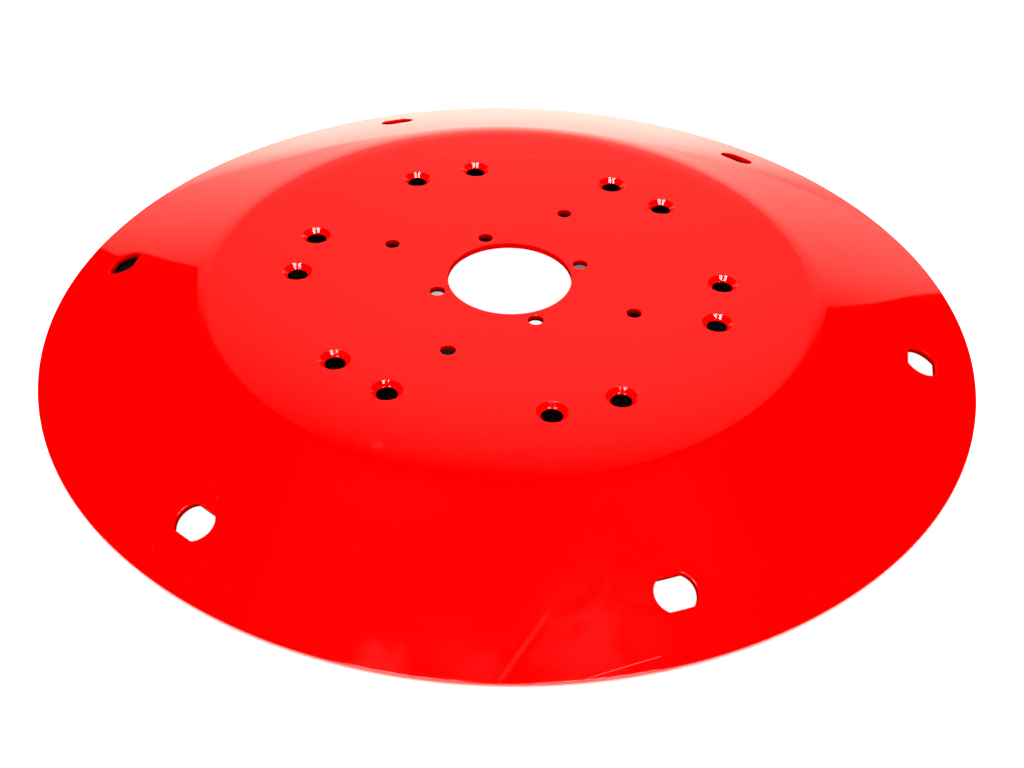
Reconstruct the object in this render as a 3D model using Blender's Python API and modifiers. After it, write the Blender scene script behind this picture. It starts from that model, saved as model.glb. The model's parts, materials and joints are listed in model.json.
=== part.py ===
"""Dished rotor disc: one piece of pressed and punched steel sheet, painted all over.

A flat round centre bends down into a straight conical rim, like an upturned saucer.
Everything that locates or fastens it is a hole punched through the sheet: a central bore,
two rings of plain bolt holes, six pairs of countersunk holes and six double-D pin holes.

Frame: metres, +Z up along the disc's axis. The rim stands on z = 0.
Two of the inner bolt holes lie on the X axis and two on the Y axis.
"""

import math

import bmesh
import bpy
from mathutils import Matrix, Vector

# Sheet and pressed form. Radii and heights are those of the upper face.
SHEET_THICKNESS = 0.004
RIM_RADIUS = 0.3034
RIM_DROP = 0.0405
CORNER_RADIUS = 0.1984  # where the flat and the cone would meet if the bend were sharp
BEND_RADIUS = 0.030

# Holes through the flat centre
BORE_RADIUS = 0.040
BOLT_HOLE_RADIUS = 0.005
INNER_BOLT_CIRCLE = 0.0490
OUTER_BOLT_CIRCLE = 0.0867
BOLTS_PER_CIRCLE = 4
SCREW_HOLE_RADIUS = 0.0065
COUNTERSINK_RADIUS = 0.0094
SCREW_CIRCLE = 0.1378
SCREW_PAIR_SPACING = 0.0435

# Double-D holes through the cone: a circle with two flats square to the radius
PIN_HOLE_CIRCLE = 0.2670
PIN_HOLE_RADIUS = 0.0120
PIN_HOLE_HALF_FLATS = 0.00975

# Six knives, so the screw pairs and the pin holes repeat every sixth of a turn
STATIONS = 6
FIRST_STATION = math.radians(30)

# Faceting
DISC_STEPS = 120
BEND_STEPS = 5
BOLT_HOLE_SIDES = 24
SCREW_HOLE_SIDES = 32
PIN_HOLE_ARC_STEPS = 10
CUTTER_MARGIN = 0.003
MERGE_DISTANCE = 0.00001

# The countersinks are 90 degrees, so they are as deep as they are wide
COUNTERSINK_DEPTH = COUNTERSINK_RADIUS - SCREW_HOLE_RADIUS
CONE_ANGLE = math.atan2(RIM_DROP, RIM_RADIUS - CORNER_RADIUS)
TOP_HEIGHT = RIM_DROP + SHEET_THICKNESS * math.cos(CONE_ANGLE)
BACK_HEIGHT = TOP_HEIGHT - SHEET_THICKNESS

PAINT_COLOUR = (0.80, 0.006, 0.004, 1.0)
PAINT_ROUGHNESS = 0.12


def clear_scene():
    for obj in list(bpy.data.objects):
        bpy.data.objects.remove(obj, do_unlink=True)


def new_collection(name):
    collection = bpy.data.collections.new(name)
    bpy.context.scene.collection.children.link(collection)
    return collection


def paint_material():
    material = bpy.data.materials.new("red_paint")
    material.use_nodes = True
    shader = material.node_tree.nodes["Principled BSDF"]
    shader.inputs["Base Color"].default_value = PAINT_COLOUR
    shader.inputs["Roughness"].default_value = PAINT_ROUGHNESS
    shader.inputs["Metallic"].default_value = 0.0
    return material


def object_from_bmesh(name, shape, collection):
    mesh = bpy.data.meshes.new(name)
    shape.to_mesh(mesh)
    shape.free()
    obj = bpy.data.objects.new(name, mesh)
    collection.objects.link(obj)
    return obj


def turned_object(name, outline, steps, collection):
    """A closed or axis-to-axis outline of (radius, height) points, turned about Z."""
    shape = bmesh.new()
    points = [shape.verts.new((radius, 0, height)) for radius, height in outline]
    for first, second in zip(points, points[1:]):
        shape.edges.new((first, second))
    if outline[0][0] > 0:
        shape.edges.new((points[-1], points[0]))
    obj = object_from_bmesh(name, shape, collection)
    screw = obj.modifiers.new("turn", "SCREW")
    screw.steps = steps
    screw.render_steps = steps
    screw.use_merge_vertices = True
    screw.merge_threshold = MERGE_DISTANCE
    screw.use_smooth_shade = True
    return obj


def bend_arc(radius, corner, height):
    """Points of a rounded corner between a level line at this height and the cone below it."""
    tangent = radius * math.tan(CONE_ANGLE / 2)
    centre = (corner - tangent, height - radius)
    angles = [CONE_ANGLE * step / BEND_STEPS for step in range(BEND_STEPS + 1)]
    return [
        (centre[0] + radius * math.sin(angle), centre[1] + radius * math.cos(angle))
        for angle in angles
    ]


def sheet_outline():
    """Section of the sheet: along the upper face to the rim, back along the under face."""
    upper_bend = bend_arc(BEND_RADIUS, CORNER_RADIUS, TOP_HEIGHT)
    under_corner = CORNER_RADIUS - SHEET_THICKNESS * math.tan(CONE_ANGLE / 2)
    under_bend = bend_arc(BEND_RADIUS - SHEET_THICKNESS, under_corner, BACK_HEIGHT)
    upper_rim = (RIM_RADIUS, TOP_HEIGHT - RIM_DROP)
    lower_rim = (RIM_RADIUS - SHEET_THICKNESS * math.sin(CONE_ANGLE), 0.0)
    outline = [(BORE_RADIUS, TOP_HEIGHT), *upper_bend, upper_rim, lower_rim]
    return outline + under_bend[::-1] + [(BORE_RADIUS, BACK_HEIGHT)]


def round_cutter(name, radius, sides, collection):
    shape = bmesh.new()
    bmesh.ops.create_cone(
        shape,
        cap_ends=True,
        segments=sides,
        radius1=radius,
        radius2=radius,
        depth=SHEET_THICKNESS + 2 * CUTTER_MARGIN,
    )
    bmesh.ops.translate(shape, verts=shape.verts, vec=(0, 0, -SHEET_THICKNESS / 2))
    return object_from_bmesh(name, shape, collection)


def countersunk_cutter(name, collection):
    """A plain hole that opens at 90 degrees to the upper face, at height 0 here."""
    outline = [
        (0.0, CUTTER_MARGIN),
        (COUNTERSINK_RADIUS + CUTTER_MARGIN, CUTTER_MARGIN),
        (SCREW_HOLE_RADIUS, -COUNTERSINK_DEPTH),
        (SCREW_HOLE_RADIUS, -SHEET_THICKNESS - CUTTER_MARGIN),
        (0.0, -SHEET_THICKNESS - CUTTER_MARGIN),
    ]
    return turned_object(name, outline, SCREW_HOLE_SIDES, collection)


def double_d_cutter(name, collection):
    """A circle between two flats that face +X and -X, extruded through the sheet."""
    flat_angle = math.asin(PIN_HOLE_HALF_FLATS / PIN_HOLE_RADIUS)
    shape = bmesh.new()
    lower = []
    for side in (math.pi / 2, -math.pi / 2):
        for step in range(PIN_HOLE_ARC_STEPS + 1):
            angle = side + flat_angle * (1 - 2 * step / PIN_HOLE_ARC_STEPS)
            x = PIN_HOLE_RADIUS * math.cos(angle)
            y = PIN_HOLE_RADIUS * math.sin(angle)
            lower.append(shape.verts.new((x, y, -SHEET_THICKNESS - CUTTER_MARGIN)))
    bottom = shape.faces.new(lower)
    depth = SHEET_THICKNESS + 2 * CUTTER_MARGIN
    walls = bmesh.ops.extrude_face_region(shape, geom=[bottom])["geom"]
    raised = [item for item in walls if isinstance(item, bmesh.types.BMVert)]
    bmesh.ops.translate(shape, verts=raised, vec=(0, 0, depth))
    bmesh.ops.recalc_face_normals(shape, faces=shape.faces)
    return object_from_bmesh(name, shape, collection)


def copy_of(obj, name, place, collection):
    """Another object with the same mesh and modifiers, set down at this place."""
    twin = obj.copy()
    twin.name = name
    twin.matrix_world = place
    collection.objects.link(twin)
    return twin


def place_on_flat(radius, angle):
    turned = Matrix.Rotation(angle, 4, "Z")
    return turned @ Matrix.Translation(Vector((radius, 0, TOP_HEIGHT)))


def place_on_cone(radius, angle):
    """Square to the cone's upper face, with local X down the slope."""
    drop = (radius - CORNER_RADIUS) * math.tan(CONE_ANGLE)
    turned = Matrix.Rotation(angle, 4, "Z")
    moved = Matrix.Translation(Vector((radius, 0, TOP_HEIGHT - drop)))
    return turned @ moved @ Matrix.Rotation(CONE_ANGLE, 4, "Y")


def bolt_hole_cutters(collection):
    pattern = round_cutter("cut_bolt_hole", BOLT_HOLE_RADIUS, BOLT_HOLE_SIDES, collection)
    circles = (("inner", INNER_BOLT_CIRCLE, 0.0), ("outer", OUTER_BOLT_CIRCLE, math.pi / 4))
    for name, radius, first in circles:
        for number in range(BOLTS_PER_CIRCLE):
            angle = first + number * math.tau / BOLTS_PER_CIRCLE
            place = place_on_flat(radius, angle)
            copy_of(pattern, f"cut_{name}_bolt_{number + 1}", place, collection)
    bpy.data.objects.remove(pattern)


def screw_hole_cutters(collection):
    pattern = countersunk_cutter("cut_screw_hole", collection)
    half_angle = math.asin(SCREW_PAIR_SPACING / 2 / SCREW_CIRCLE)
    for station in range(STATIONS):
        middle = FIRST_STATION + station * math.tau / STATIONS
        for side, name in ((-1, "a"), (1, "b")):
            place = place_on_flat(SCREW_CIRCLE, middle + side * half_angle)
            copy_of(pattern, f"cut_screw_{station + 1}{name}", place, collection)
    bpy.data.objects.remove(pattern)


def pin_hole_cutters(collection):
    pattern = double_d_cutter("cut_pin_hole", collection)
    for station in range(STATIONS):
        angle = FIRST_STATION + station * math.tau / STATIONS
        place = place_on_cone(PIN_HOLE_CIRCLE, angle)
        copy_of(pattern, f"cut_pin_{station + 1}", place, collection)
    bpy.data.objects.remove(pattern)


def hide_cutters(collection):
    for cutter in collection.objects:
        cutter.hide_render = True
        cutter.display_type = "WIRE"


def make_disc(parts, cutters):
    disc = turned_object("dished_disc", sheet_outline(), DISC_STEPS, parts)
    disc.data.materials.append(paint_material())
    punch = disc.modifiers.new("punched_holes", "BOOLEAN")
    punch.operation = "DIFFERENCE"
    punch.operand_type = "COLLECTION"
    punch.collection = cutters
    return disc


def main():
    clear_scene()
    parts = new_collection("dished_rotor_disc")
    cutters = new_collection("hole_cutters")
    bolt_hole_cutters(cutters)
    screw_hole_cutters(cutters)
    pin_hole_cutters(cutters)
    hide_cutters(cutters)
    make_disc(parts, cutters)


main()
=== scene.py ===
"""Looks of the dished rotor disc: a fine mesh of the painted sheet, its red enamel and the studio."""

import json
import math

import bmesh
import bpy
from mathutils import Matrix, Vector

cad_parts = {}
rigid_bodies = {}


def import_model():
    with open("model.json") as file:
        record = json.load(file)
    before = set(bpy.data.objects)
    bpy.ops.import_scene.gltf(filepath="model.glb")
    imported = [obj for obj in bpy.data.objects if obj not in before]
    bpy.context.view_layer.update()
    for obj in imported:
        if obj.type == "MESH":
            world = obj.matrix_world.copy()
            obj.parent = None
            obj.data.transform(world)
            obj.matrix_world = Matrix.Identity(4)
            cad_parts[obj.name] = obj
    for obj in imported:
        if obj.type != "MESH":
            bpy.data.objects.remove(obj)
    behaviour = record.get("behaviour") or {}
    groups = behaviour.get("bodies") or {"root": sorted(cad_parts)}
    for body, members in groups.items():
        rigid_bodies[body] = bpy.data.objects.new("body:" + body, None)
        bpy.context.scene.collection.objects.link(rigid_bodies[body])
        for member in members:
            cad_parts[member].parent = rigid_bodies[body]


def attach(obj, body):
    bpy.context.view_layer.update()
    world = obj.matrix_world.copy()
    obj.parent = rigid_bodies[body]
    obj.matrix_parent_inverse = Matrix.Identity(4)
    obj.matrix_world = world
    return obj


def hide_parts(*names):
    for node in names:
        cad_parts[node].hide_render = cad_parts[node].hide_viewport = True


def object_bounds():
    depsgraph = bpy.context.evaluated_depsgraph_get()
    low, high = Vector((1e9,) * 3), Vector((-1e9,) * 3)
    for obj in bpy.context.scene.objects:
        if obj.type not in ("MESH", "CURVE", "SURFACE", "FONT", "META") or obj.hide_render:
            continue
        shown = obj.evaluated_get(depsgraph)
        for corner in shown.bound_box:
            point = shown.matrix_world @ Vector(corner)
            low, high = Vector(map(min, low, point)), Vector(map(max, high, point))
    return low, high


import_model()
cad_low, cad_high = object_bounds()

NODE = "dished_disc"
MM = 0.001

# The sheet's own sizes, as in the CAD part. Overall radius and height come from the frame.
RIM_RADIUS = (cad_high.x - cad_low.x) / 2
TOP_HEIGHT = cad_high.z
SHEET = 4.0 * MM
CORNER_RADIUS = 198.4 * MM
BEND_RADIUS = 30 * MM
BORE_RADIUS = 40 * MM
BOLT_CIRCLES = ((49.0 * MM, 0.0), (86.7 * MM, math.pi / 4))
BOLTS_PER_CIRCLE = 4
SCREW_HOLE_RADIUS = 6.5 * MM
SCREW_CIRCLE = 137.8 * MM
SCREW_PAIR_SPACING = 43.5 * MM
PIN_CIRCLE = 267.0 * MM
PIN_HOLE_RADIUS = 12.0 * MM
PIN_HOLE_HALF_FLATS = 9.75 * MM
STATIONS = 6
FIRST_STATION = math.radians(30)

# How far each edge is rounded under its film of paint
RIM_ROUNDING = 0.7 * MM
BORE_ROUNDING = 0.5 * MM
HOLE_ROUNDING = 0.45 * MM
BOLT_HOLE_ROUNDING = 0.3 * MM
PIN_HOLE_ROUNDING = 0.7 * MM
COUNTERSINK_ROUNDING = 0.2 * MM
COUNTERSINK_FOOT_ROUNDING = 0.3 * MM
# The paint narrows the small holes, widens the countersinks and steepens their walls near the foot.
PAINTED_BOLT_HOLE_RADIUS = 4.8 * MM
PAINTED_COUNTERSINK_RADIUS = 9.65 * MM
COUNTERSINK_LIP_SLOPE = math.radians(43)
COUNTERSINK_FOOT_SLOPE = math.radians(50)

# Fineness of the mesh
DISC_STEPS = 480
RING_SPACING = 6 * MM
BEND_STEPS = 28
ROUNDING_STEPS = 6
COUNTERSINK_STEPS = 14
HOLE_SIDES = 96
PIN_HOLE_SIDES = 256
CORNER_SHARPNESS = 96  # of the double-D holes; higher is sharper
MARGIN = 3 * MM  # how far a cutter reaches past the sheet
TANGENT_LIFT = 0.01 * MM  # a rounding crosses the face at a slight angle, not along it
FLARE_SWEEP = math.radians(85.5)  # and stops just short of lying along it
ON_FACE = 0.002 * MM

# Depth below a face over which the paint turns from a face's into a wall's
CUT_BLEND = 0.25 * MM
SHARP_BLEND = 0.1 * MM
# The rim's edge lies outside this radius, and the countersinks' walls end at this depth.
RIM_EDGE_FROM = RIM_RADIUS - 3 * MM
COUNTERSINK_DEPTH = 0.8 * SHEET
# How much of the enamel's gloss the countersinks lose, and how much painted shade darkens each edge:
# for the holes, next to the upper face and at the lower one
COUNTERSINK_CUT = 0.5
RIM_PAINTED_SHADE = 0.4
PIN_HOLE_PAINTED_SHADE = (0.1, 0.85)
BOLT_HOLE_PAINTED_SHADE = (0.35, 1.0)


def cone_angle():
    """The cone's slope, from the sheet's thickness and the height between its top and its lowest edge."""
    run = RIM_RADIUS - CORNER_RADIUS
    angle = 0.0
    for _ in range(30):
        drop = TOP_HEIGHT - SHEET * math.cos(angle)
        angle = math.atan2(drop, run)
    return angle


CONE = cone_angle()
RIM_DROP = TOP_HEIGHT - SHEET * math.cos(CONE)
TANGENT = BEND_RADIUS * math.tan(CONE / 2)
BEND_START = CORNER_RADIUS - TANGENT


def rounded_outline(corners):
    """Turns (radius, height, rounding, steps) corners into the points of a closed, rounded outline."""
    points = []
    count = len(corners)
    for index, (x, z, rounding, steps) in enumerate(corners):
        corner = Vector((x, z))
        if rounding == 0:
            points.append(corner)
            continue
        back = (Vector(corners[index - 1][:2]) - corner).normalized()
        ahead = (Vector(corners[(index + 1) % count][:2]) - corner).normalized()
        half = back.angle(ahead) / 2
        centre = corner + (back + ahead).normalized() * (rounding / math.sin(half))
        first = corner + back * (rounding / math.tan(half)) - centre
        last = corner + ahead * (rounding / math.tan(half)) - centre
        sweep = first.angle_signed(last)
        for step in range(steps + 1):
            arm = first.copy()
            arm.rotate(Matrix.Rotation(-sweep * step / steps, 2))
            points.append(centre + arm)
    return points


def with_rings(points, spacing):
    """Splits the long straight stretches of a closed outline, so that the turned mesh has even faces."""
    result = []
    for index, point in enumerate(points):
        following = points[(index + 1) % len(points)]
        pieces = max(1, math.ceil((following - point).length / spacing))
        result += [point.lerp(following, piece / pieces) for piece in range(pieces)]
    return result


def sheet_outline():
    half_turn = math.tan(CONE / 2)
    back = TOP_HEIGHT - SHEET
    corners = [
        (BORE_RADIUS, TOP_HEIGHT, BORE_ROUNDING, ROUNDING_STEPS),
        (CORNER_RADIUS, TOP_HEIGHT, BEND_RADIUS, BEND_STEPS),
        (RIM_RADIUS, TOP_HEIGHT - RIM_DROP, RIM_ROUNDING, ROUNDING_STEPS),
        (RIM_RADIUS - SHEET * math.sin(CONE), 0.0, RIM_ROUNDING, ROUNDING_STEPS),
        (CORNER_RADIUS - SHEET * half_turn, back, BEND_RADIUS - SHEET, BEND_STEPS),
        (BORE_RADIUS, back, BORE_ROUNDING, ROUNDING_STEPS),
    ]
    return with_rings(rounded_outline(corners), RING_SPACING)


def link(name, shape, collection):
    mesh = bpy.data.meshes.new(name)
    shape.to_mesh(mesh)
    shape.free()
    obj = bpy.data.objects.new(name, mesh)
    collection.objects.link(obj)
    return obj


def turned(name, outline, sides, collection):
    """Turns a closed outline, or one that starts and ends on the axis, about Z."""
    shape = bmesh.new()
    verts = [shape.verts.new((x, 0, z)) for x, z in outline]
    edges = [shape.edges.new(pair) for pair in zip(verts, verts[1:])]
    if outline[0][0] > 0:
        edges.append(shape.edges.new((verts[-1], verts[0])))
    bmesh.ops.spin(
        shape,
        geom=verts + edges,
        cent=(0, 0, 0),
        axis=(0, 0, 1),
        angle=math.tau,
        steps=sides,
        use_merge=True,
    )
    bmesh.ops.remove_doubles(shape, verts=shape.verts, dist=MM / 1000)
    bmesh.ops.recalc_face_normals(shape, faces=shape.faces)
    return link(name, shape, collection)


def flare(radius, face, inward, rounding):
    """Points from a hole's wall out to just past a face at this height, round its edge."""
    points = []
    for step in range(ROUNDING_STEPS + 1):
        angle = FLARE_SWEEP * step / ROUNDING_STEPS
        out = rounding * (1 - math.cos(angle))
        rise = rounding * (math.sin(angle) - 1) + TANGENT_LIFT
        points.append((radius + out, face - inward * rise))
    return points


def plain_hole_outline(radius, rounding):
    """Cutter for a plain hole. Height 0 is the upper face."""
    upper = flare(radius, 0, -1, rounding)
    lower = flare(radius, -SHEET, 1, rounding)
    start = [(0, MARGIN), (upper[-1][0], MARGIN)]
    end = [(lower[-1][0], -SHEET - MARGIN), (0, -SHEET - MARGIN)]
    return start + upper[::-1] + lower + end


def countersink_wall():
    """Points from the countersink's lip to its foot, for a flat face at height 0."""
    first, last = COUNTERSINK_LIP_SLOPE, COUNTERSINK_FOOT_SLOPE
    inward = (PAINTED_COUNTERSINK_RADIUS - SCREW_HOLE_RADIUS) / COUNTERSINK_STEPS
    radius, height = PAINTED_COUNTERSINK_RADIUS, 0.0
    points = [(radius, height)]
    for step in range(COUNTERSINK_STEPS):
        slope = first + (last - first) * (step / COUNTERSINK_STEPS) ** 3
        radius -= inward
        height -= inward * math.tan(slope)
        points.append((radius, height))
    return points


def countersunk_outline():
    """The plain hole's cutter with its top opened out to a countersink and its edges rounded."""
    reach = PAINTED_COUNTERSINK_RADIUS + 2 * MM
    lip, *middle, foot = countersink_wall()
    corners = [(0, MARGIN, 0, 0), (reach, MARGIN, 0, 0), (reach, TANGENT_LIFT, 0, 0)]
    corners.append((lip[0], TANGENT_LIFT, COUNTERSINK_ROUNDING, ROUNDING_STEPS))
    corners += [(x, z, 0, 0) for x, z in middle]
    corners.append((*foot, COUNTERSINK_FOOT_ROUNDING, ROUNDING_STEPS))
    corners.append((SCREW_HOLE_RADIUS, -SHEET, 0, 0))
    wall = [tuple(point) for point in rounded_outline(corners)[3:-1]]
    lower = flare(SCREW_HOLE_RADIUS, -SHEET, 1, HOLE_ROUNDING)
    start = [(0, MARGIN), (wall[0][0], MARGIN)]
    end = [(lower[-1][0], -SHEET - MARGIN), (0, -SHEET - MARGIN)]
    return start + wall + lower + end


def double_d(offset, angle):
    """Distance from the centre to a double-D outline grown by this offset; angle 0 faces a flat."""
    circle = PIN_HOLE_RADIUS + offset
    flat = (PIN_HOLE_HALF_FLATS + offset) / max(abs(math.cos(angle)), 0.01)
    return (circle**-CORNER_SHARPNESS + flat**-CORNER_SHARPNESS) ** (-1 / CORNER_SHARPNESS)


def on_cone(station, slope, across, height):
    """A point at this distance down the cone's slope from a pin hole's centre, across it and above it."""
    radius = PIN_CIRCLE + slope * math.cos(CONE)
    level = TOP_HEIGHT - (radius - CORNER_RADIUS) * math.tan(CONE)
    angle = station + across / radius
    outward = Vector((math.cos(angle), math.sin(angle), 0))
    up = Vector((0, 0, 1))
    normal = outward * math.sin(CONE) + up * math.cos(CONE)
    return outward * radius + up * level + normal * height


def pin_hole_cutter(name, station, collection):
    upper = flare(0, 0, -1, PIN_HOLE_ROUNDING)
    lower = flare(0, -SHEET, 1, HOLE_ROUNDING)
    levels = [(upper[-1][0], MARGIN)] + upper[::-1] + lower
    levels.append((lower[-1][0], -SHEET - MARGIN))
    shape = bmesh.new()
    rings = []
    for offset, height in levels:
        ring = []
        for side in range(PIN_HOLE_SIDES):
            angle = math.tau * side / PIN_HOLE_SIDES
            reach = double_d(offset, angle)
            slope, across = reach * math.cos(angle), reach * math.sin(angle)
            ring.append(shape.verts.new(on_cone(station, slope, across, height)))
        rings.append(ring)
    for first, second in zip(rings, rings[1:]):
        for side in range(PIN_HOLE_SIDES):
            following = (side + 1) % PIN_HOLE_SIDES
            shape.faces.new((first[side], second[side], second[following], first[following]))
    shape.faces.new(rings[0])
    shape.faces.new(rings[-1][::-1])
    bmesh.ops.recalc_face_normals(shape, faces=shape.faces)
    return link(name, shape, collection)


def on_flat(radius, angle):
    return Vector((radius * math.cos(angle), radius * math.sin(angle), TOP_HEIGHT))


def bolt_centres():
    turns = [math.tau * number / BOLTS_PER_CIRCLE for number in range(BOLTS_PER_CIRCLE)]
    return [on_flat(circle, first + turn) for circle, first in BOLT_CIRCLES for turn in turns]


def station_angles():
    return [FIRST_STATION + math.tau * number / STATIONS for number in range(STATIONS)]


def screw_centres():
    half_pair = math.asin(SCREW_PAIR_SPACING / 2 / SCREW_CIRCLE)
    return [
        on_flat(SCREW_CIRCLE, station + side)
        for station in station_angles()
        for side in (-half_pair, half_pair)
    ]


def cut_all(name, outline, centres, collection):
    """One turned cutter at each of these centres, all sharing one mesh."""
    pattern = turned(name, outline, HOLE_SIDES, collection)
    pattern.location = centres[0]
    for centre in centres[1:]:
        twin = pattern.copy()
        twin.location = centre
        collection.objects.link(twin)


def make_cutters(collection):
    bolt_hole = plain_hole_outline(PAINTED_BOLT_HOLE_RADIUS, BOLT_HOLE_ROUNDING)
    cut_all("bolt_hole", bolt_hole, bolt_centres(), collection)
    cut_all("screw_hole", countersunk_outline(), screw_centres(), collection)
    for station in station_angles():
        pin_hole_cutter("pin_hole", station, collection)


def face_normals_of(mesh):
    """Vertex normals: exact on the sheet's two faces, and averaged from the faces on every edge and wall."""
    normals = [Vector(vertex.normal) for vertex in mesh.vertices]
    for vertex, normal in zip(mesh.vertices, normals):
        x, y, z = vertex.co
        radius = math.hypot(x, y)
        if radius < BORE_RADIUS + BORE_ROUNDING - ON_FACE:
            continue
        for thickness, way in ((0.0, 1), (SHEET, -1)):
            slope, level = upper_face(radius, thickness)
            if abs((z - level) * math.cos(slope)) < ON_FACE:
                tilt = way * math.sin(slope) / radius
                normal.xyz = (x * tilt, y * tilt, way * math.cos(slope))
    return normals


def upper_face(radius, thickness=0.0):
    """(slope, height) of the face that lies this far under the upper one, at this radius."""
    bend = BEND_RADIUS - thickness
    centre = Vector((BEND_START, TOP_HEIGHT - BEND_RADIUS))
    if radius <= BEND_START:
        return 0.0, TOP_HEIGHT - thickness
    if radius <= BEND_START + bend * math.sin(CONE):
        slope = math.asin((radius - centre.x) / bend)
        return slope, centre.y + bend * math.cos(slope)
    end = centre + Vector((math.sin(CONE), math.cos(CONE))) * bend
    return CONE, end.y - (radius - end.x) * math.tan(CONE)


def nearest_gap(point, centres):
    return min(math.hypot(point.x - centre.x, point.y - centre.y) for centre in centres)


# Painted shade on a hole's wall, from its value next to the upper face to its value at the lower one
def painted_shade_at(ends, depth):
    first, last = ends
    return first + (last - first) * depth / SHEET


def paint_on(point, bolts, screws):
    """Two values for the paint at this point, both from 0 on a face to 1.

    The first tells how dull the paint is, and the second how much painted shade darkens it: on the rim's
    edge, and in the holes, mostly growing with depth.
    """
    radius = math.hypot(point.x, point.y)
    slope, level = upper_face(radius)
    depth = (level - point.z) * math.cos(slope)
    inside = min(depth, SHEET - depth)
    soft = min(max(inside / CUT_BLEND, 0.0), 1.0)
    sharp = min(max(inside / SHARP_BLEND, 0.0), 1.0)
    # Painted shade on the rim's edge
    if radius > RIM_EDGE_FROM:
        return 0.0, soft * RIM_PAINTED_SHADE
    if radius < BORE_RADIUS + BORE_ROUNDING:
        return sharp, 0.0
    if nearest_gap(point, bolts) < PAINTED_BOLT_HOLE_RADIUS + BOLT_HOLE_ROUNDING:
        return sharp, soft * painted_shade_at(BOLT_HOLE_PAINTED_SHADE, depth)
    gap = nearest_gap(point, screws)
    if gap > PAINTED_COUNTERSINK_RADIUS + COUNTERSINK_ROUNDING:
        return soft, soft * painted_shade_at(PIN_HOLE_PAINTED_SHADE, depth)
    if gap > SCREW_HOLE_RADIUS + ON_FACE and depth < COUNTERSINK_DEPTH:
        return sharp * COUNTERSINK_CUT, 0.0
    return soft, soft


def mark_paint(mesh):
    """Stores paint_on of each vertex for the material."""
    cuts = mesh.attributes.new("cut_edge", "FLOAT", "POINT")
    edge_shades = mesh.attributes.new("painted_edge_shade", "FLOAT", "POINT")
    bolts, screws = bolt_centres(), screw_centres()
    for vertex, cut, edge_shade in zip(mesh.vertices, cuts.data, edge_shades.data):
        cut.value, edge_shade.value = paint_on(vertex.co, bolts, screws)


def make_disc():
    workshop = bpy.data.collections.new("workshop")
    bpy.context.scene.collection.children.link(workshop)
    cutters = bpy.data.collections.new("cutters")
    workshop.children.link(cutters)
    outline = [tuple(point) for point in sheet_outline()]
    blank = turned("disc_blank", outline, DISC_STEPS, workshop)
    make_cutters(cutters)
    punch = blank.modifiers.new("punched_holes", "BOOLEAN")
    punch.operation = "DIFFERENCE"
    punch.solver = "EXACT"
    punch.operand_type = "COLLECTION"
    punch.collection = cutters
    graph = bpy.context.evaluated_depsgraph_get()
    mesh = bpy.data.meshes.new_from_object(blank.evaluated_get(graph))
    mesh.name = "painted_sheet"
    disc = bpy.data.objects.new("painted_disc", mesh)
    bpy.context.scene.collection.objects.link(disc)
    for helper in list(workshop.all_objects):
        bpy.data.objects.remove(helper)
    bpy.data.collections.remove(cutters)
    bpy.data.collections.remove(workshop)
    mesh.shade_smooth()
    mesh.normals_split_custom_set_from_vertices(face_normals_of(mesh))
    mark_paint(mesh)
    return disc


# ---------------------------------------------------------------- materials

# The two reds between which each kind of paint drifts, and the size of the drift's noise
ENAMEL_REDS = ((0.80, 0.0, 0.0), (0.88, 0.0, 0.0))
WALL_REDS = ((0.88, 0.0, 0.0), (0.96, 0.0, 0.0))
# Painted shade: the dark red that the rim's edge and the walls of the holes turn towards
PAINTED_SHADE_COLOUR = (0.03, 0.0, 0.0)
DRIFT_SCALE = 9.0
ENAMEL_IOR = 1.5
ENAMEL_ROUGHNESS = (0.03, 0.05)
WALL_ROUGHNESS = 0.5
# The enamel's fine orange peel, and the wider swell under it
PEEL_SCALE = 420.0
SWELL_SCALE = 55.0
SWELL_HEIGHT = 3.0
PEEL_STRENGTH = 0.05
PEEL_DEPTH = 0.2 * MM

# Marks of use on the paint. Positions, lengths and widths are in millimetres.
# (start x, start y, end x, end y, half width, strength) of each scratch and rub
SCRATCHES = (
    (-71, -260, -104, -283, 1.3, 0.0045),
    (-62, -296, -21, -296, 0.20, 0.06),
    (-1, 163.6, 7, 163.5, 0.6, 0.015),
    (63, 142.6, 75, 138.0, 0.6, 0.015),
)
SCRATCH_TAPER = 0.5  # the lower, the longer a scratch's tips
# (x, y, inner radius, outer radius, strength) of each hazy patch
HAZES = (
    (-38, -268, 5, 42, 0.0020),
    (-62, -284, 8, 44, 0.0022),
    (-114, -268, 4, 26, 0.0022),
    (-158, -252, 2, 18, 0.0060),
    (-125, -133, 1, 5, 0.0060),
)
SMEAR_NOISE = {"Scale": 0.05, "Detail": 2.0, "Distortion": 0.5}
SPECK_SPACING = 24.0
SPECK_RADIUS = 0.35
SPECK_STRENGTH = 0.03


def new_material(name):
    material = bpy.data.materials.new(name)
    material.use_nodes = True
    material.node_tree.nodes.clear()
    return material, material.node_tree


def node(tree, kind, inputs=None, **settings):
    """A node with its settings, and its inputs either set to values or linked from sockets."""
    made = tree.nodes.new(kind)
    for key, value in settings.items():
        setattr(made, key, value)
    for key, value in (inputs or {}).items():
        if isinstance(value, bpy.types.NodeSocket):
            tree.links.new(value, made.inputs[key])
        else:
            made.inputs[key].default_value = value
    return made


def calc(tree, operation, *values):
    made = node(tree, "ShaderNodeMath", dict(enumerate(values)), operation=operation)
    return made.outputs[0]


def ramp(tree, value, low, high, start=0.0, end=1.0):
    """Smoothly from start to end as value goes from low to high."""
    inputs = {"Value": value, "From Min": low, "From Max": high, "To Min": start, "To Max": end}
    made = node(tree, "ShaderNodeMapRange", inputs, interpolation_type="SMOOTHSTEP")
    return made.outputs["Result"]


def blend_values(tree, factor, first, second):
    made = node(tree, "ShaderNodeMix", {0: factor, 2: first, 3: second}, data_type="FLOAT")
    return made.outputs[0]


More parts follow.
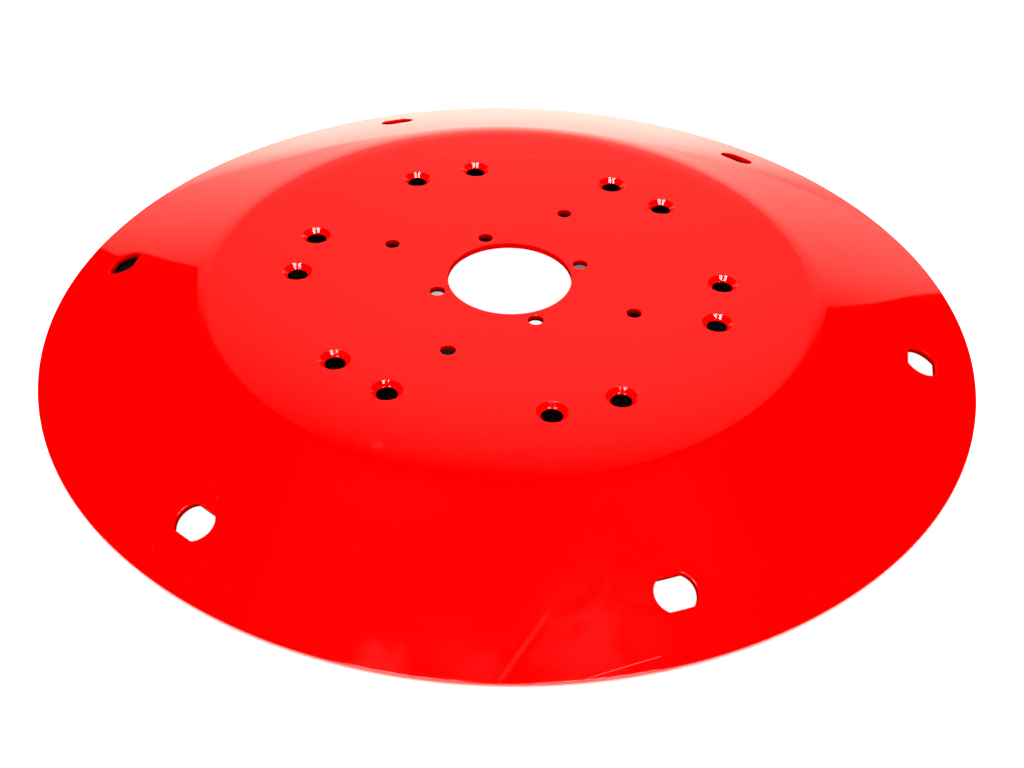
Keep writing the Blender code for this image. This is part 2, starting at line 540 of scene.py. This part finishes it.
def blend(tree, factor, first, second):
    """A colour between these two."""
    made = node(tree, "ShaderNodeMix", {"Factor": factor}, data_type="RGBA")
    for name, value in (("A", first), ("B", second)):
        socket = next(s for s in made.inputs if s.name == name and s.type == "RGBA")
        if isinstance(value, bpy.types.NodeSocket):
            tree.links.new(value, socket)
        else:
            socket.default_value = (*value, 1)
    return next(s for s in made.outputs if s.type == "RGBA")


def line_mark(tree, plan, mark):
    """A faint straight mark, given as in SCRATCHES. Plan is the place seen from above, in millimetres."""
    start, end = Vector((*mark[0:2], 0)), Vector((*mark[2:4], 0))
    half_width, strength = mark[4:]
    half_length = (end - start).length / 2
    along = (end - start).normalized()
    middle = (start + end) / 2
    local = node(tree, "ShaderNodeVectorMath", {0: plan, 1: middle}, operation="SUBTRACT").outputs[0]
    distances = []
    for direction in (along, Vector((-along.y, along.x, 0))):
        product = node(tree, "ShaderNodeVectorMath", {0: local, 1: direction}, operation="DOT_PRODUCT")
        distances.append(calc(tree, "ABSOLUTE", product.outputs["Value"]))
    past_end = calc(tree, "MAXIMUM", calc(tree, "SUBTRACT", distances[0], half_length), 0.0)
    gap = calc(tree, "MULTIPLY_ADD", past_end, SCRATCH_TAPER, distances[1])
    return ramp(tree, gap, half_width * 0.6, half_width * 1.3, strength, 0)


def wear(tree, place):
    """How much pale haze, rubs, scratches and dust lie on the paint."""
    flat = node(tree, "ShaderNodeVectorMath", {0: place, 1: (1000, 1000, 0)}, operation="MULTIPLY")
    plan = flat.outputs[0]
    smears = node(tree, "ShaderNodeTexNoise", {"Vector": plan, **SMEAR_NOISE}).outputs["Fac"]
    smeared = ramp(tree, smears, 0.36, 0.62, 0.1, 1)
    total = None
    for x, y, inner, outer, strength in HAZES:
        gap = node(tree, "ShaderNodeVectorMath", {0: plan, 1: (x, y, 0)}, operation="DISTANCE")
        patch = ramp(tree, gap.outputs["Value"], inner, outer, strength, 0)
        total = patch if total is None else calc(tree, "ADD", total, patch)
    total = calc(tree, "MULTIPLY", total, smeared)
    specks = node(
        tree,
        "ShaderNodeTexVoronoi",
        {"Vector": plan, "Scale": 1 / SPECK_SPACING},
        voronoi_dimensions="2D",
    ).outputs["Distance"]
    size = SPECK_RADIUS / SPECK_SPACING
    speck = ramp(tree, specks, size * 0.5, size * 1.5, SPECK_STRENGTH, 0)
    total = calc(tree, "ADD", total, speck)
    for mark in SCRATCHES:
        total = calc(tree, "ADD", total, line_mark(tree, plan, mark))
    return total


def enamel(tree, place, cloud, edge_shade):
    """The glossy paint of the two faces and the rim, with its orange peel, its wear and the painted shade on
    the rim's edge.
    """
    peel = node(tree, "ShaderNodeTexNoise", {"Vector": place, "Scale": PEEL_SCALE, "Detail": 2.0})
    swell = node(tree, "ShaderNodeTexNoise", {"Vector": place, "Scale": SWELL_SCALE, "Detail": 1.0})
    waves = calc(tree, "MULTIPLY_ADD", swell.outputs["Fac"], SWELL_HEIGHT, peel.outputs["Fac"])
    relief = {"Height": waves, "Strength": PEEL_STRENGTH, "Distance": PEEL_DEPTH}
    bump = node(tree, "ShaderNodeBump", relief)
    red = blend(tree, cloud, *ENAMEL_REDS)
    worn = blend(tree, wear(tree, place), red, (1.0, 1.0, 1.0))
    paint = node(
        tree,
        "ShaderNodeBsdfPrincipled",
        {
            "Base Color": blend(tree, edge_shade, worn, PAINTED_SHADE_COLOUR),
            "Roughness": ramp(tree, cloud, 0.3, 0.7, *ENAMEL_ROUGHNESS),
            "Normal": bump.outputs[0],
        },
    )
    paint.inputs["IOR"].default_value = ENAMEL_IOR
    return paint.outputs[0]


def wall_paint(tree, cloud, edge_shade):
    """The duller paint inside the holes, darkened by painted shade that grows with depth in the small ones.
    """
    colour = blend(tree, edge_shade, blend(tree, cloud, *WALL_REDS), PAINTED_SHADE_COLOUR)
    inputs = {"Base Color": colour, "Roughness": WALL_ROUGHNESS}
    paint = node(tree, "ShaderNodeBsdfPrincipled", inputs)
    paint.inputs["Specular IOR Level"].default_value = 0.0
    return paint.outputs[0]


def red_paint():
    material, tree = new_material("glossy_red_enamel")
    place = node(tree, "ShaderNodeTexCoord").outputs["Object"]
    drift = {"Vector": place, "Scale": DRIFT_SCALE, "Detail": 3.0}
    cloud = node(tree, "ShaderNodeTexNoise", drift).outputs["Fac"]
    cut = node(tree, "ShaderNodeAttribute", attribute_name="cut_edge").outputs["Fac"]
    # Painted shade stored on each vertex: on the rim's edge and deeper in the holes
    edge_shade = node(tree, "ShaderNodeAttribute", attribute_name="painted_edge_shade").outputs["Fac"]
    layers = {0: cut, 1: enamel(tree, place, cloud, edge_shade), 2: wall_paint(tree, cloud, edge_shade)}
    both = node(tree, "ShaderNodeMixShader", layers)
    node(tree, "ShaderNodeOutputMaterial", {"Surface": both.outputs[0]})
    return material


# ------------------------------------------------------------------- studio

VIEW_AZIMUTH = -20.213
VIEW_ELEVATION = 38.700
VIEW_DISTANCE = 0.88868
VIEW_ROLL = 1.266
VIEW_TARGET = Vector((-0.03532, -0.10458, TOP_HEIGHT))
LENS = 52.908

STUDIO_TURN = math.radians(-20)
REFLECTED_TINT = (1.0, 1.0, 0.85, 1.0)

# The (x, height) corners of the paper behind the disc, which flares a little at its foot
FAR_SCREEN_DISTANCE = 0.40
FAR_SCREEN = (
    (-0.466, 0.0),
    (0.540, 0.0),
    (0.514, 0.10),
    (0.512, 0.60),
    (-0.450, 0.60),
    (-0.448, 0.09),
    (-0.450, 0.07),
    (-0.469, 0.06),
)
# Its bright pool and the dim wash round it. A tuple of four here and below is a ramp of light:
# (from, to, value at from, value at to).
POOL_CENTRE = 0.013
POOL_WIDTH = (0.0, 0.15, 0.12, 0.248)
POOL_PEAK = (0.0, 0.06, 0.93, 1.56)
# (rise with the square of the distance from the middle, height in the middle) where the pool ends
POOL_FADE_FROM = (0.53, 0.1575)
POOL_FADE_TO = (1.68, 0.164)
WASH_CENTRE = 0.03
WASH_HALF_WIDTH = 0.568
WASH_HEIGHT = 0.58
WASH_POWER = 2.1  # 2 is an ellipse, more is squarer
WASH_FADE_FROM = 0.737
WASH_UPWARD = (0.034, 0.232, 0.767, 0.386)
WASH_LEFT = (-0.61, -0.25, 0.41, 1)
WASH_OUTWARD = (0.086, 0.424, 1, 0.71)

# The floor's paper, and the painted shade on the part of it that lies under the disc
PAPER_WHITES = ((0.93, 0.93, 0.93), (0.96, 0.96, 0.96))
PAINTED_SHADE_UNDER_DISC = (0.02, 0.02, 0.02)
PAINTED_SHADE_UNDER_DISC_EDGE = (0.285, 0.297)

# The light that the paint mirrors from the floor: behind the disc, in front of it, and in a ring
MIRRORED_MIDDLE = 0.02
MIRRORED_SIDES = (0.14, 0.31, 1.65, 0.5)
MIRRORED_BEHIND = (0.30, 0.40, 1.08, 0.85)
MIRRORED_IN_FRONT = 0.4
MIRRORED_FRONT_EDGE = (0.05, 0.25)
MIRRORED_RING = (RIM_RADIUS + 2 * MM, RIM_RADIUS + 8 * MM, 1.1, 0)
MIRRORED_FROM = (0.29, 0.30)

# Round patches of painted light glow on the floor where they show through the bore, the front holes and some
# bolt holes from the front, in place of light falling through them. For each metre of its opening's height,
# a patch lies this much further out and back than the opening.
LIGHT_PATCH_SPREAD = 1.793
LIGHT_PATCH_SHIFT = Vector((0.493, 1.355, 0.0))
LIGHT_PATCH_LIFT = 0.2 * MM
LIGHT_PATCH_SIDES = 96
BORE_LIGHT_PATCH_RADIUS = 45 * MM
PIN_HOLE_LIGHT_PATCH_RADIUS = 16 * MM
BOLT_LIGHT_PATCH_RADIUS = 6.5 * MM
BOLT_LIGHT_PATCH_STRENGTH = {0: 0.18, 2: 0.50, 3: 1.0}  # by the bolt hole's number
FRONT_STATIONS = slice(3, 6)

# (name, turn in degrees, distance, width, height, shift along it) of the three softer screens
SOFT_SCREENS = (
    ("left_screen", 90, 0.62, 0.54, 0.55, -0.37),
    ("right_screen", -90, 0.62, 0.54, 0.55, 0.37),
    ("near_screen", 180, 0.62, 1.00, 0.42, 0.0),
)
SOFT_SCREEN_LIGHT = 0.6

WINDOW_DISTANCE = 2.0
# (name, azimuth, elevation, width, height, radiance) of each window pane in front of the disc
WINDOW_PANES = (
    ("left_upper_pane", -27, 60, 0.56, 0.54, 36),
    ("left_lower_pane", -27, 41.5, 0.52, 0.24, 22),
    ("right_upper_pane", 27, 60, 0.60, 0.54, 33),
    ("right_lower_pane", 27, 41.5, 0.56, 0.24, 19),
)

# (name, azimuth, elevation, distance, size, watts)
SOFT_LIGHTS = (
    ("overhead", 0, 88, 2.0, 2.2, 55),
    ("front_fill", 0, 40, 2.0, 1.0, 30),
)
WORLD_FILL = 0.25


def back_from(azimuth, elevation):
    turn, rise = math.radians(azimuth), math.radians(elevation)
    level = math.cos(rise)
    return Vector((math.sin(turn) * level, -math.cos(turn) * level, math.sin(rise)))


def make_camera():
    data = bpy.data.cameras.new("camera")
    data.lens = LENS
    camera = bpy.data.objects.new("camera", data)
    bpy.context.scene.collection.objects.link(camera)
    back = back_from(VIEW_AZIMUTH, VIEW_ELEVATION)
    facing = back.to_track_quat("Z", "Y").to_matrix().to_4x4()
    roll = Matrix.Rotation(math.radians(VIEW_ROLL), 4, "Z")
    camera.matrix_world = Matrix.Translation(VIEW_TARGET + back * VIEW_DISTANCE) @ facing @ roll
    bpy.context.scene.camera = camera


def light_patch_place(opening):
    place = opening + (opening * LIGHT_PATCH_SPREAD + LIGHT_PATCH_SHIFT) * opening.z
    place.z = LIGHT_PATCH_LIFT
    return place


def light_patch_plans():
    """(opening, radius, light) of every patch of painted light on the floor."""
    middle = TOP_HEIGHT - SHEET / 2
    plans = [(Vector((0, 0, middle)), BORE_LIGHT_PATCH_RADIUS, 1.0)]
    for station in station_angles()[FRONT_STATIONS]:
        plans.append((on_cone(station, 0, 0, -SHEET / 2), PIN_HOLE_LIGHT_PATCH_RADIUS, 1.0))
    for number, light in BOLT_LIGHT_PATCH_STRENGTH.items():
        bolt = bolt_centres()[number]
        plans.append((Vector((bolt.x, bolt.y, middle)), BOLT_LIGHT_PATCH_RADIUS, light))
    return plans


# Painted light: a patch glows white, in place of the light that falls through its opening onto the floor
def light_patch_material(name, light):
    material, tree = new_material(name)
    glow = node(tree, "ShaderNodeEmission", {"Color": (1, 1, 1, 1), "Strength": light})
    node(tree, "ShaderNodeOutputMaterial", {"Surface": glow.outputs[0]})
    return material


def make_light_patches():
    for number, (opening, radius, light) in enumerate(light_patch_plans()):
        name = f"painted_light_patch_{number}"
        shape = bmesh.new()
        bmesh.ops.create_circle(shape, cap_ends=True, segments=LIGHT_PATCH_SIDES, radius=radius)
        light_patch = link(name, shape, bpy.context.scene.collection)
        light_patch.location = light_patch_place(opening)
        light_patch.data.materials.append(light_patch_material(name, light))
        light_patch.visible_glossy = False


def mirrored_floor(tree, place, radius):
    """What the paint mirrors of the floor outside the rim, brightest in a narrow ring next to it."""
    along = node(tree, "ShaderNodeSeparateXYZ", {"Vector": place}).outputs
    across = calc(tree, "ABSOLUTE", calc(tree, "ADD", along["X"], MIRRORED_MIDDLE))
    sides = ramp(tree, across, *MIRRORED_SIDES)
    behind = calc(tree, "MULTIPLY", sides, ramp(tree, along["Y"], *MIRRORED_BEHIND))
    depth = ramp(tree, along["Y"], *MIRRORED_FRONT_EDGE)
    wide = blend_values(tree, depth, MIRRORED_IN_FRONT, behind)
    pool = calc(tree, "ADD", wide, ramp(tree, radius, *MIRRORED_RING))
    strength = calc(tree, "MULTIPLY", pool, ramp(tree, radius, *MIRRORED_FROM))
    return node(tree, "ShaderNodeEmission", {"Color": REFLECTED_TINT, "Strength": strength})


def pale_floor():
    """White outside the rim, where it glows with painted light so that no shadow shows next to the rim, and
    darkened by painted shade under the disc.
    """
    material, tree = new_material("pale_floor")
    place = node(tree, "ShaderNodeTexCoord").outputs["Object"]
    radius = node(tree, "ShaderNodeVectorMath", {0: place}, operation="LENGTH").outputs["Value"]
    # Painted shade: the floor turns dark under the disc
    shade = ramp(tree, radius, *PAINTED_SHADE_UNDER_DISC_EDGE, 1, 0)
    cloud = node(tree, "ShaderNodeTexNoise", {"Vector": place, "Scale": 3.0}).outputs["Fac"]
    colour = blend(tree, shade, blend(tree, cloud, *PAPER_WHITES), PAINTED_SHADE_UNDER_DISC)
    paper = node(tree, "ShaderNodeBsdfPrincipled", {"Base Color": colour, "Roughness": 0.9})
    paper.inputs["Specular IOR Level"].default_value = 0.1
    # Painted light: the floor glows from the rim outwards, so that no shadow shows next to the rim
    paper.inputs["Emission Color"].default_value = (1, 1, 1, 1)
    glow = ramp(tree, radius, RIM_RADIUS - 1 * MM, RIM_RADIUS + 1 * MM)
    tree.links.new(glow, paper.inputs["Emission Strength"])
    mirrored = mirrored_floor(tree, place, radius)
    glossy = node(tree, "ShaderNodeLightPath").outputs["Is Glossy Ray"]
    shown = {0: glossy, 1: paper.outputs[0], 2: mirrored.outputs[0]}
    both = node(tree, "ShaderNodeMixShader", shown)
    node(tree, "ShaderNodeOutputMaterial", {"Surface": both.outputs[0]})
    return material


def screen_pool(tree, x, z):
    """The bright pool low on the screen, which widens as it rises and ends in a curved edge."""
    width = ramp(tree, z, *POOL_WIDTH)
    reach = calc(tree, "DIVIDE", calc(tree, "SUBTRACT", x, POOL_CENTRE), width)
    bell = calc(tree, "EXPONENT", calc(tree, "MULTIPLY", calc(tree, "MULTIPLY", reach, reach), -1.0))
    peak = ramp(tree, z, *POOL_PEAK)
    spread = calc(tree, "MULTIPLY", x, x)
    fade_from = calc(tree, "MULTIPLY_ADD", spread, *POOL_FADE_FROM)
    fade_to = calc(tree, "MULTIPLY_ADD", spread, *POOL_FADE_TO)
    edge = ramp(tree, z, fade_from, fade_to, 1, 0)
    return calc(tree, "MULTIPLY", calc(tree, "MULTIPLY", bell, peak), edge)


def screen_wash(tree, x, z):
    """The dimmer, even light over the rest of the screen, which falls off to its top and sides."""
    offset = calc(tree, "SUBTRACT", x, WASH_CENTRE)
    across = calc(tree, "ABSOLUTE", offset)
    wide = calc(tree, "POWER", calc(tree, "DIVIDE", across, WASH_HALF_WIDTH), WASH_POWER)
    high = calc(tree, "POWER", calc(tree, "DIVIDE", z, WASH_HEIGHT), WASH_POWER)
    out = calc(tree, "POWER", calc(tree, "ADD", wide, high), 1 / WASH_POWER)
    limits = {"Value": out, "From Min": WASH_FADE_FROM, "From Max": 1.0}
    past = node(tree, "ShaderNodeMapRange", limits).outputs["Result"]
    wash = calc(tree, "SUBTRACT", 1.0, calc(tree, "MULTIPLY", past, past))
    for part in (
        ramp(tree, z, *WASH_UPWARD),
        ramp(tree, offset, *WASH_LEFT),
        ramp(tree, across, *WASH_OUTWARD),
    ):
        wash = calc(tree, "MULTIPLY", wash, part)
    return wash


def lit_screen():
    """White paper lit from low down in its middle. X runs along it and Z up from the floor."""
    material, tree = new_material("lit_screen")
    place = node(tree, "ShaderNodeTexCoord").outputs["Object"]
    along = node(tree, "ShaderNodeSeparateXYZ", {"Vector": place}).outputs
    pool = screen_pool(tree, along["X"], along["Z"])
    strength = calc(tree, "ADD", pool, screen_wash(tree, along["X"], along["Z"]))
    glow = node(tree, "ShaderNodeEmission", {"Color": REFLECTED_TINT, "Strength": strength})
    node(tree, "ShaderNodeOutputMaterial", {"Surface": glow.outputs[0]})
    return material


def soft_screen(name, width, height):
    """A screen that fades out to its sides and its top."""
    material, tree = new_material(name)
    place = node(tree, "ShaderNodeTexCoord").outputs["Object"]
    along = node(tree, "ShaderNodeSeparateXYZ", {"Vector": place}).outputs
    across = calc(tree, "ABSOLUTE", along["X"])
    sides = ramp(tree, across, 0.2 * width, 0.5 * width, SOFT_SCREEN_LIGHT, 0)
    strength = calc(tree, "MULTIPLY", sides, ramp(tree, along["Z"], 0.2 * height, height, 1, 0))
    glow = node(tree, "ShaderNodeEmission", {"Color": REFLECTED_TINT, "Strength": strength})
    node(tree, "ShaderNodeOutputMaterial", {"Surface": glow.outputs[0]})
    return material


def bright_pane(radiance):
    material, tree = new_material("window_pane")
    glow = node(tree, "ShaderNodeEmission", {"Color": (1, 1, 1, 1), "Strength": radiance})
    node(tree, "ShaderNodeOutputMaterial", {"Surface": glow.outputs[0]})
    return material


def only_mirrored(obj):
    """Hides this object from everything but the reflections in the paint."""
    obj.visible_camera = False
    obj.visible_diffuse = False
    obj.visible_shadow = False
    obj.visible_transmission = False


def mirrored_panel(name, corners, place, material):
    """A flat panel with these corners in its own XZ plane, seen only in the paint."""
    shape = bmesh.new()
    shape.faces.new([shape.verts.new((x, 0, z)) for x, z in corners])
    panel = link(name, shape, bpy.context.scene.collection)
    panel.matrix_world = place
    panel.data.materials.append(material)
    only_mirrored(panel)


def make_screens():
    facing = Matrix.Rotation(STUDIO_TURN, 4, "Z")
    place = facing @ Matrix.Translation((0, FAR_SCREEN_DISTANCE, 0))
    mirrored_panel("far_screen", FAR_SCREEN, place, lit_screen())
    for name, turn, distance, width, height, shift in SOFT_SCREENS:
        corners = [(-width / 2, 0), (width / 2, 0), (width / 2, height), (-width / 2, height)]
        facing = Matrix.Rotation(STUDIO_TURN + math.radians(turn), 4, "Z")
        place = facing @ Matrix.Translation((shift, distance, 0))
        mirrored_panel(name, corners, place, soft_screen(name, width, height))


def make_windows():
    for name, azimuth, elevation, width, height, radiance in WINDOW_PANES:
        x, z = width / 2, height / 2
        back = back_from(azimuth + math.degrees(STUDIO_TURN), elevation)
        facing = back.to_track_quat("Y", "Z").to_matrix().to_4x4()
        place = Matrix.Translation(back * WINDOW_DISTANCE) @ facing
        mirrored_panel(name, [(-x, -z), (x, -z), (x, z), (-x, z)], place, bright_pane(radiance))


def make_floor():
    shape = bmesh.new()
    bmesh.ops.create_grid(shape, x_segments=2, y_segments=2, size=6.0)
    floor = link("floor", shape, bpy.context.scene.collection)
    floor.rotation_euler.z = STUDIO_TURN
    floor.data.materials.append(pale_floor())


def soft_light(name, azimuth, elevation, distance, size, power):
    """A square area light towards the disc's centre, which the paint doesn't mirror."""
    data = bpy.data.lights.new(name, "AREA")
    data.size = size
    data.energy = power
    light = bpy.data.objects.new(name, data)
    bpy.context.scene.collection.objects.link(light)
    back = back_from(azimuth + math.degrees(STUDIO_TURN), elevation)
    light.location = back * distance
    light.rotation_euler = back.to_track_quat("Z", "Y").to_euler()
    light.visible_glossy = False
    light.visible_camera = False


def make_world():
    """White for the camera, dark in the paint's reflections and a soft fill for everything else."""
    world = bpy.data.worlds.new("studio")
    bpy.context.scene.world = world
    world.use_nodes = True
    tree = world.node_tree
    tree.nodes.clear()
    rays = node(tree, "ShaderNodeLightPath").outputs
    fill = calc(tree, "MULTIPLY", calc(tree, "SUBTRACT", 1.0, rays["Is Glossy Ray"]), WORLD_FILL)
    seen = calc(tree, "MAXIMUM", fill, rays["Is Camera Ray"])
    background = node(tree, "ShaderNodeBackground", {"Color": (1, 1, 1, 1), "Strength": seen})
    node(tree, "ShaderNodeOutputWorld", {"Surface": background.outputs[0]})
    world.cycles.sampling_method = "NONE"  # sampled directly, the fill would show in reflections


def make_studio():
    make_camera()
    make_floor()
    make_light_patches()
    make_screens()
    make_windows()
    make_world()
    for settings in SOFT_LIGHTS:
        soft_light(*settings)
    bpy.context.scene.view_settings.view_transform = "Standard"
    bpy.context.scene.view_settings.look = "None"


disc = make_disc()
disc.data.materials.clear()
disc.data.materials.append(red_paint())
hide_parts(NODE)
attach(disc, "root")
make_studio()
